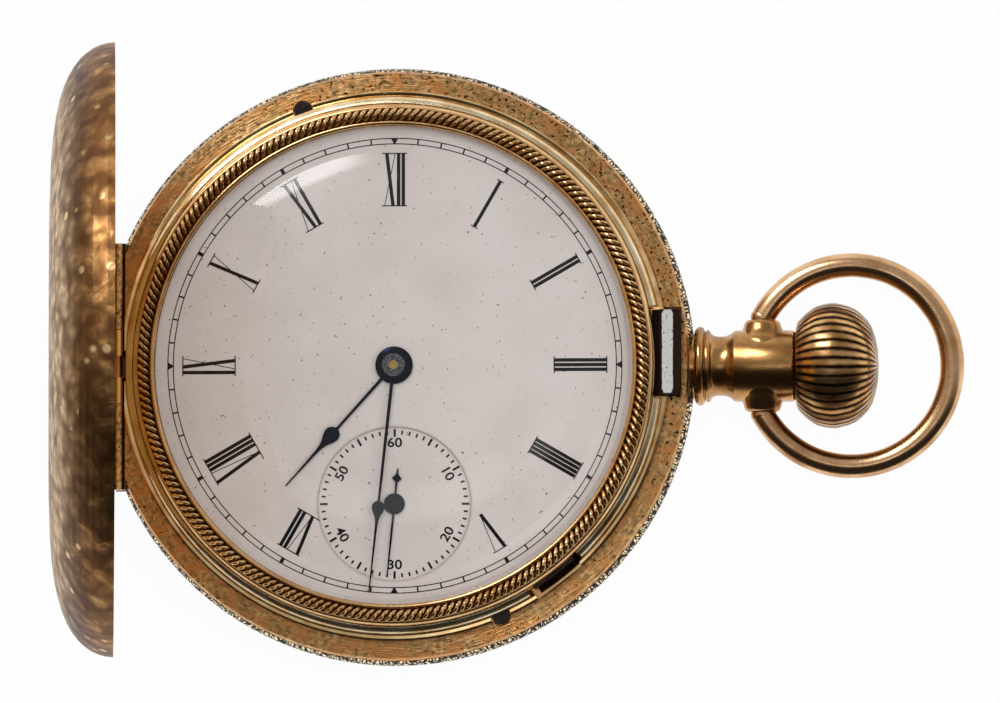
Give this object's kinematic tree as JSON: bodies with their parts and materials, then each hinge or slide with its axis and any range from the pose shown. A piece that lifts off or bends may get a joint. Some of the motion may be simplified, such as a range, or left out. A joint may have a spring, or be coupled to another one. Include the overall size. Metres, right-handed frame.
{
  "type": "hunter pocket watch",
  "caption": "Open gold hunter pocket watch with enamel dial, sunk seconds dial, blued hands, hinged covers, bow, crown and a full lever movement.",
  "frame": {"origin": "centre of the back cover's flat, under the dial's centre", "axes": "+Z out of the dial, +X through the pendant at 3 o'clock, +Y towards 12"},
  "size_m": [0.0789, 0.0524, 0.0583],
  "materials": {
    "case_gold": "polished and engraved gold",
    "inner_gold": "polished gold",
    "crystal": "polished",
    "dial_enamel": "fired enamel with black print",
    "blued_steel": "blued and polished",
    "steel": "polished",
    "spring_steel": "tempered",
    "movement_plate": "frosted and gilt",
    "wheel_brass": "gilt",
    "jewel_red": "polished ruby"
  },
  "bodies": {
    "case": {"case_centre": "case_gold", "pendant": "case_gold", "pendant_sleeve": "spring_steel", "bezel": "inner_gold", "crystal": "crystal", "front_hinge_pin": "case_gold", "back_hinge_pin": "case_gold", "case_screws": "blued_steel", "spring_screws": "spring_steel", "dial": "dial_enamel", "seconds_dial": "dial_enamel", "dial_feet": "movement_plate", "main_plate": "movement_plate", "barrel_bridge": "movement_plate", "train_bridge": "movement_plate", "balance_cock": "movement_plate", "pallet_bridge": "movement_plate", "pillars": "movement_plate", "plate_screws": "blued_steel", "jewels": "jewel_red", "crown_wheel_core": "steel", "click_spring": "spring_steel", "click_screw": "blued_steel", "hairspring": "spring_steel", "hairspring_stud": "steel"},
    "front_cover": {"front_cover": "case_gold"},
    "back_cover": {"back_cover": "case_gold"},
    "dust_cover": {"dust_cover": "inner_gold"},
    "lift_spring": {"lift_spring": "spring_steel"},
    "lock_spring": {"lock_spring": "steel"},
    "bow": {"bow": "case_gold"},
    "winding_pinion": {"winding_pinion": "steel"},
    "crown": {"crown": "case_gold", "stem": "steel"},
    "crown_wheel": {"crown_wheel": "steel"},
    "ratchet": {"ratchet_wheel": "steel", "ratchet_screw": "blued_steel", "barrel_arbor": "steel"},
    "click": {"click": "steel"},
    "setting_lever": {"setting_lever": "steel"},
    "seconds_train": {"fourth_wheel": "wheel_brass", "seconds_hand": "blued_steel"},
    "third_wheel": {"third_wheel": "wheel_brass"},
    "centre_train": {"centre_wheel": "wheel_brass", "cannon_pinion": "steel", "minute_hand": "blued_steel"},
    "barrel": {"barrel": "wheel_brass", "barrel_cover": "wheel_brass", "mainspring": "spring_steel"},
    "escape_wheel": {"escape_wheel": "wheel_brass"},
    "minute_wheel": {"minute_wheel": "wheel_brass"},
    "hour_train": {"hour_wheel": "wheel_brass", "hour_hand": "blued_steel"},
    "pallet_fork": {"pallet_fork": "steel"},
    "balance": {"balance_wheel": "wheel_brass", "balance_staff": "steel"},
    "regulator": {"regulator": "steel"}
  },
  "joints": [
    {"name": "front_cover_hinge", "type": "hinge", "parent": "case", "child": "front_cover", "pos_m": [-0.0243, 0, 0.00815], "axis": [0, 1, 0], "range_deg": [0, 83], "stiffness_Nm_per_rad": 0.004, "springref_deg": -68.75},
    {"name": "back_cover_hinge", "type": "hinge", "parent": "case", "child": "back_cover", "pos_m": [-0.0243, 0, 0.00465], "axis": [0, 1, 0], "range_deg": [0, 95]},
    {"name": "dust_cover_hinge", "type": "hinge", "parent": "case", "child": "dust_cover", "pos_m": [-0.0243, 0, 0.00465], "axis": [0, 1, 0], "range_deg": [0, 57]},
    {"name": "lift_spring_flex", "type": "hinge", "parent": "case", "child": "lift_spring", "pos_m": [-0.01272, 0.01885, 0.0075], "axis": [0, 0, 1], "range_deg": [0, 1.5]},
    {"name": "lock_spring_flex", "type": "hinge", "parent": "case", "child": "lock_spring", "pos_m": [0.01272, 0.01885, 0.0075], "axis": [0, 0, 1], "range_deg": [-1, 0]},
    {"name": "bow_swing", "type": "hinge", "parent": "case", "child": "bow", "pos_m": [0.03205, 0, 0.0054], "axis": [0, 1, 0], "range_deg": [-85, 85]},
    {"name": "crown_turn", "type": "hinge", "parent": "case", "child": "winding_pinion", "pos_m": [0.035, 0, 0.0054], "axis": [1, 0, 0], "continuous": true},
    {"name": "crown_press", "type": "slide", "parent": "winding_pinion", "child": "crown", "axis": [-1, 0, 0], "range_m": [0, 0.0006], "stiffness_N_per_m": 3000, "springref_m": -0.0005},
    {"name": "crown_wheel_turn", "type": "hinge", "parent": "case", "child": "crown_wheel", "pos_m": [0.0132, 0, 0.002], "axis": [0, 0, 1], "continuous": true},
    {"name": "ratchet_turn", "type": "hinge", "parent": "case", "child": "ratchet", "pos_m": [0.0065, 0.0072, 0.002], "axis": [0, 0, 1], "continuous": true},
    {"name": "click_lift", "type": "hinge", "parent": "case", "child": "click", "pos_m": [-0.0022, 0.0092, 0.002], "axis": [0, 0, 1], "range_deg": [0, 5], "stiffness_Nm_per_rad": 0.00002, "springref_deg": -11.46},
    {"name": "setting_lever_pull", "type": "slide", "parent": "case", "child": "setting_lever", "axis": [0.6074, -0.7944, 0], "range_m": [0, 0.0008]},
    {"name": "seconds_turn", "type": "hinge", "parent": "case", "child": "seconds_train", "pos_m": [0, -0.0121, 0.005], "axis": [0, 0, -1], "continuous": true},
    {"name": "third_turn", "type": "hinge", "parent": "case", "child": "third_wheel", "pos_m": [0.00352, -0.00679, 0.004], "axis": [0, 0, -1], "continuous": true},
    {"name": "centre_turn", "type": "hinge", "parent": "case", "child": "centre_train", "pos_m": [0, 0, 0.005], "axis": [0, 0, -1], "continuous": true},
    {"name": "barrel_turn", "type": "hinge", "parent": "case", "child": "barrel", "pos_m": [0.0065, 0.0072, 0.005], "axis": [0, 0, -1], "continuous": true},
    {"name": "escape_turn", "type": "hinge", "parent": "case", "child": "escape_wheel", "pos_m": [-0.00552, -0.0136, 0.0043], "axis": [0, 0, -1], "continuous": true},
    {"name": "minute_wheel_turn", "type": "hinge", "parent": "case", "child": "minute_wheel", "pos_m": [0.00212, 0.00212, 0.0075], "axis": [0, 0, -1], "continuous": true},
    {"name": "hour_turn", "type": "hinge", "parent": "case", "child": "hour_train", "pos_m": [0, 0, 0.008], "axis": [0, 0, -1], "continuous": true},
    {"name": "balance_swing", "type": "hinge", "parent": "case", "child": "balance", "pos_m": [-0.0115, -0.0055, 0.003], "axis": [0, 0, 1], "range_deg": [-220, 220], "stiffness_Nm_per_rad": 0.00000001},
    {"name": "pallet_swing", "type": "hinge", "parent": "case", "child": "pallet_fork", "pos_m": [-0.00751, -0.0109, 0.0043], "axis": [0, 0, 1], "range_deg": [-3, 3]},
    {"name": "regulator_turn", "type": "hinge", "parent": "case", "child": "regulator", "pos_m": [-0.0115, -0.0055, 0.0013], "axis": [0, 0, 1], "range_deg": [-20, 20]}
  ],
  "couplings": [
    {"joint": "dust_cover_hinge", "follows": "back_cover_hinge", "ratio": 0.6},
    {"joint": "lift_spring_flex", "follows": "front_cover_hinge", "ratio": 0.017},
    {"joint": "lock_spring_flex", "follows": "crown_press", "rad_per_m": -28},
    {"joint": "crown_wheel_turn", "follows": "crown_turn", "ratio": 0.47059},
    {"joint": "ratchet_turn", "follows": "crown_turn", "ratio": -0.2963},
    {"joint": "third_turn", "follows": "seconds_turn", "ratio": -0.13333},
    {"joint": "centre_turn", "follows": "seconds_turn", "ratio": 0.016667},
    {"joint": "barrel_turn", "follows": "seconds_turn", "ratio": -0.0020833},
    {"joint": "escape_turn", "follows": "seconds_turn", "ratio": -10},
    {"joint": "minute_wheel_turn", "follows": "seconds_turn", "ratio": -0.0055556},
    {"joint": "hour_turn", "follows": "seconds_turn", "ratio": 0.0013889}
  ]
}
